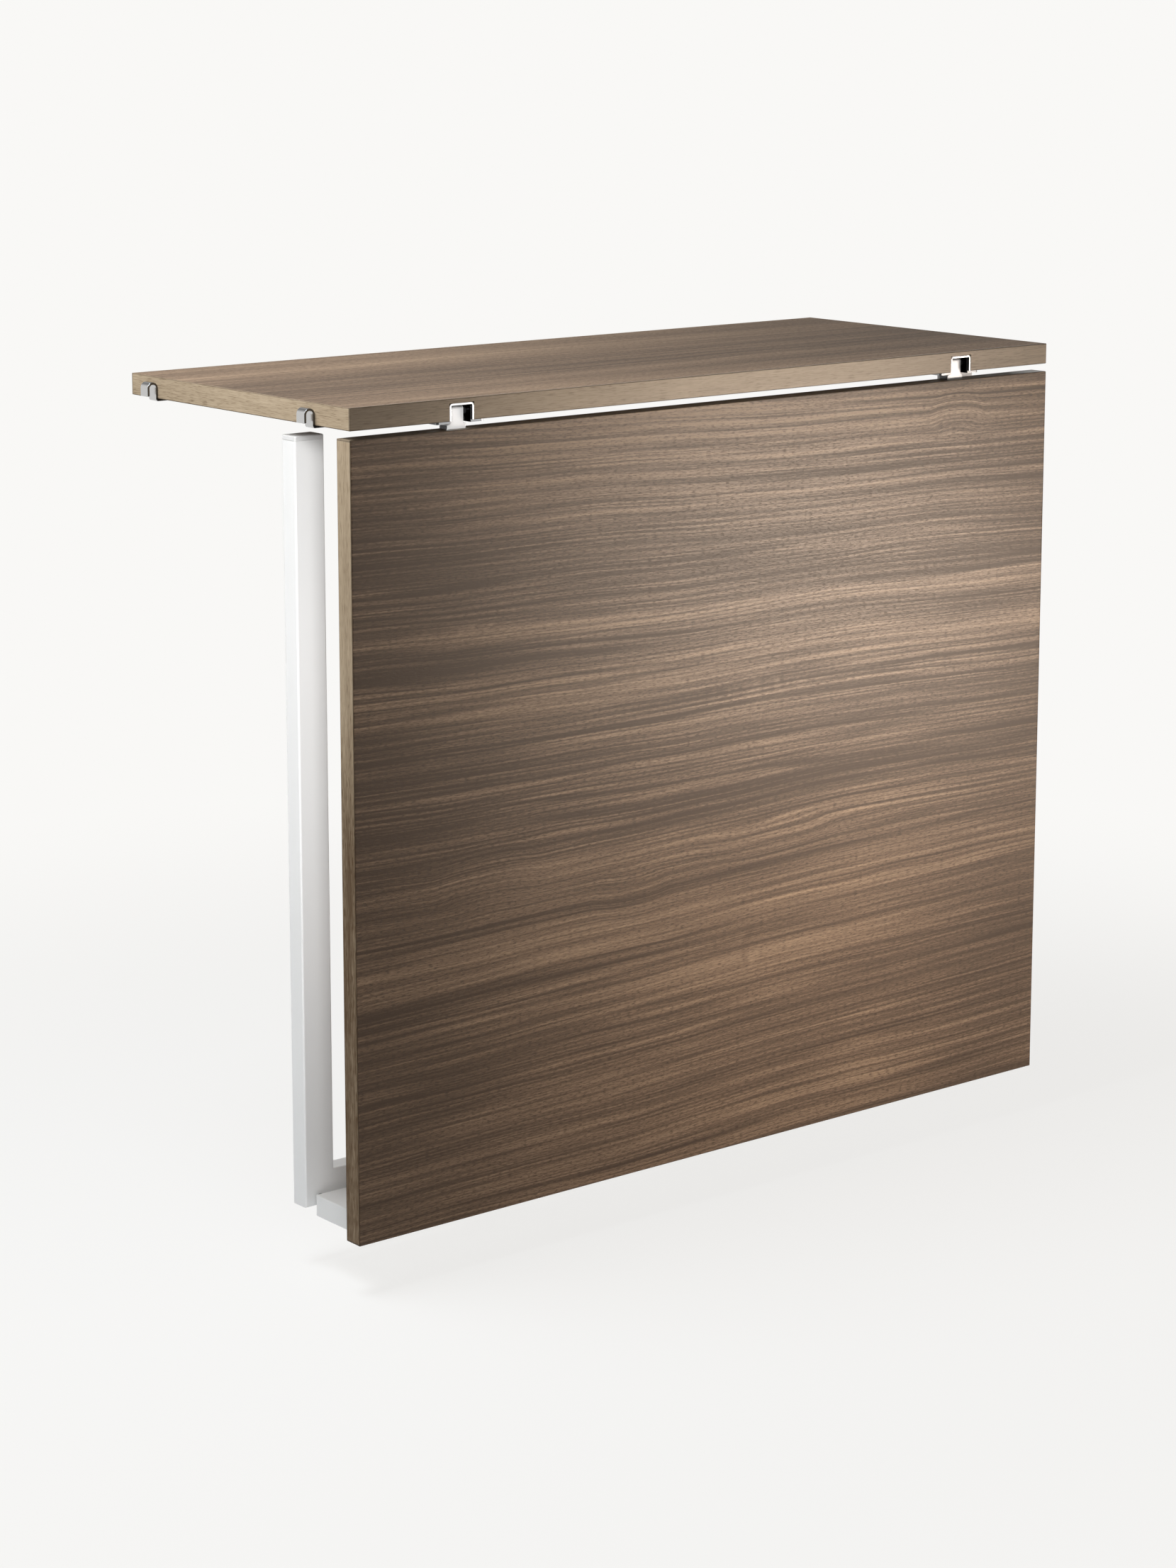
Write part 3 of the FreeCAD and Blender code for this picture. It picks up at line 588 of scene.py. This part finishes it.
def make_floor():
    bpy.ops.mesh.primitive_plane_add(size=FLOOR_SIZE, location=FLOOR_PLACE)
    floor = bpy.context.object
    floor.name = "floor"
    material = bpy.data.materials.new("pale floor")
    material.use_nodes = True
    material.node_tree.nodes.clear()
    nodes = Nodes(material.node_tree)
    place = nodes.add("TexCoord").outputs["Object"]
    far = nodes.add("VectorMath", {0: place}, operation="LENGTH").outputs["Value"]
    near = nodes.range(far, SHADOW_OUTER, SHADOW_INNER)
    stain = nodes.scaled(nodes.noise(place, STAIN_RATE), STAIN_SHARE)
    matt = nodes.add("BsdfDiffuse", {"Color": nodes.mix(stain, FLOOR_COLOUR, FLOOR_STAIN)}).outputs[0]
    glow = nodes.add("Emission", {"Color": BACKDROP_COLOUR, "Strength": 1.0}).outputs[0]
    pale_share = nodes.math("SUBTRACT", 1.0, nodes.scaled(near, SHADOW_SHARE))
    behind = nodes.range(nodes.add("SeparateXYZ", {0: place}).outputs["Y"], *FLOOR_BEHIND)
    share = nodes.math("MULTIPLY", pale_rays(nodes, behind), pale_share)
    shown = nodes.add("MixShader", {0: share, 1: matt, 2: glow}).outputs[0]
    nodes.add("OutputMaterial", {"Surface": shown})
    floor.data.materials.append(material)


def make_world():
    world = bpy.data.worlds.new("studio")
    scene.world = world
    world.use_nodes = True
    world.node_tree.nodes.clear()
    nodes = Nodes(world.node_tree)
    ambient = nodes.add("Background", {"Color": AMBIENT_COLOUR, "Strength": AMBIENT_STRENGTH}).outputs[0]
    backdrop = nodes.add("Background", {"Color": BACKDROP_COLOUR, "Strength": 1.0}).outputs[0]
    direction = nodes.add("TexCoord").outputs["Generated"]
    behind = nodes.range(nodes.add("SeparateXYZ", {0: direction}).outputs["Y"], *WORLD_BEHIND)
    shown = nodes.add("MixShader", {0: pale_rays(nodes, behind), 1: ambient, 2: backdrop}).outputs[0]
    nodes.add("OutputWorld", {"Surface": shown})


def linked_pieces(name, starts, state):
    """The pieces that a lamp lights alone, or spares, by the start of their names."""
    linked = bpy.data.collections.new("pieces of lamp " + name)
    for node, piece in frame["nodes"].items():
        if node.startswith(starts):
            linked.objects.link(piece)
    for entry in linked.collection_objects:
        entry.light_linking.link_state = state
    return linked


def make_lamps():
    for name, lamp in LAMPS.items():
        light = bpy.data.lights.new(name, "AREA")
        light.shape = "RECTANGLE"
        light.size, light.size_y = lamp["size"]
        light.energy = lamp["watts"]
        light.color = lamp.get("colour", WHITE)
        light.spread = math.radians(lamp.get("spread", FULL_SPREAD))
        holder = bpy.data.objects.new(name, light)
        aim = Vector(lamp["target"]) - Vector(lamp["place"])
        holder.location = lamp["place"]
        holder.rotation_euler = aim.to_track_quat("-Z", "Y").to_euler()
        holder.visible_camera = False
        holder.visible_glossy = lamp.get("mirrored", True)
        holder.visible_diffuse = lamp.get("scattered", True)
        scene.collection.objects.link(holder)
        for rule, state in (("lights_only", "INCLUDE"), ("spares", "EXCLUDE")):
            if rule in lamp:
                holder.light_linking.receiver_collection = linked_pieces(name, lamp[rule], state)


def make_camera():
    camera = bpy.data.cameras.new("camera")
    camera.sensor_width = SENSOR
    camera.lens = FOCAL_PIXELS * SENSOR / PHOTO_HEIGHT
    camera.shift_y = (EYE_LINE_PIXELS - PHOTO_HEIGHT / 2) / PHOTO_HEIGHT
    holder = bpy.data.objects.new("camera", camera)
    yaw = math.radians(CAMERA_YAW)
    pitch = math.radians(CAMERA_PITCH)
    aim = Vector((math.sin(yaw) * math.cos(pitch), math.cos(yaw) * math.cos(pitch), math.sin(pitch)))
    holder.location = CAMERA_PLACE
    holder.rotation_euler = aim.to_track_quat("-Z", "Y").to_euler()
    scene.collection.objects.link(holder)
    scene.camera = holder


dress()
make_floor()
make_world()
make_lamps()
make_camera()
scene.view_settings.view_transform = "Standard"
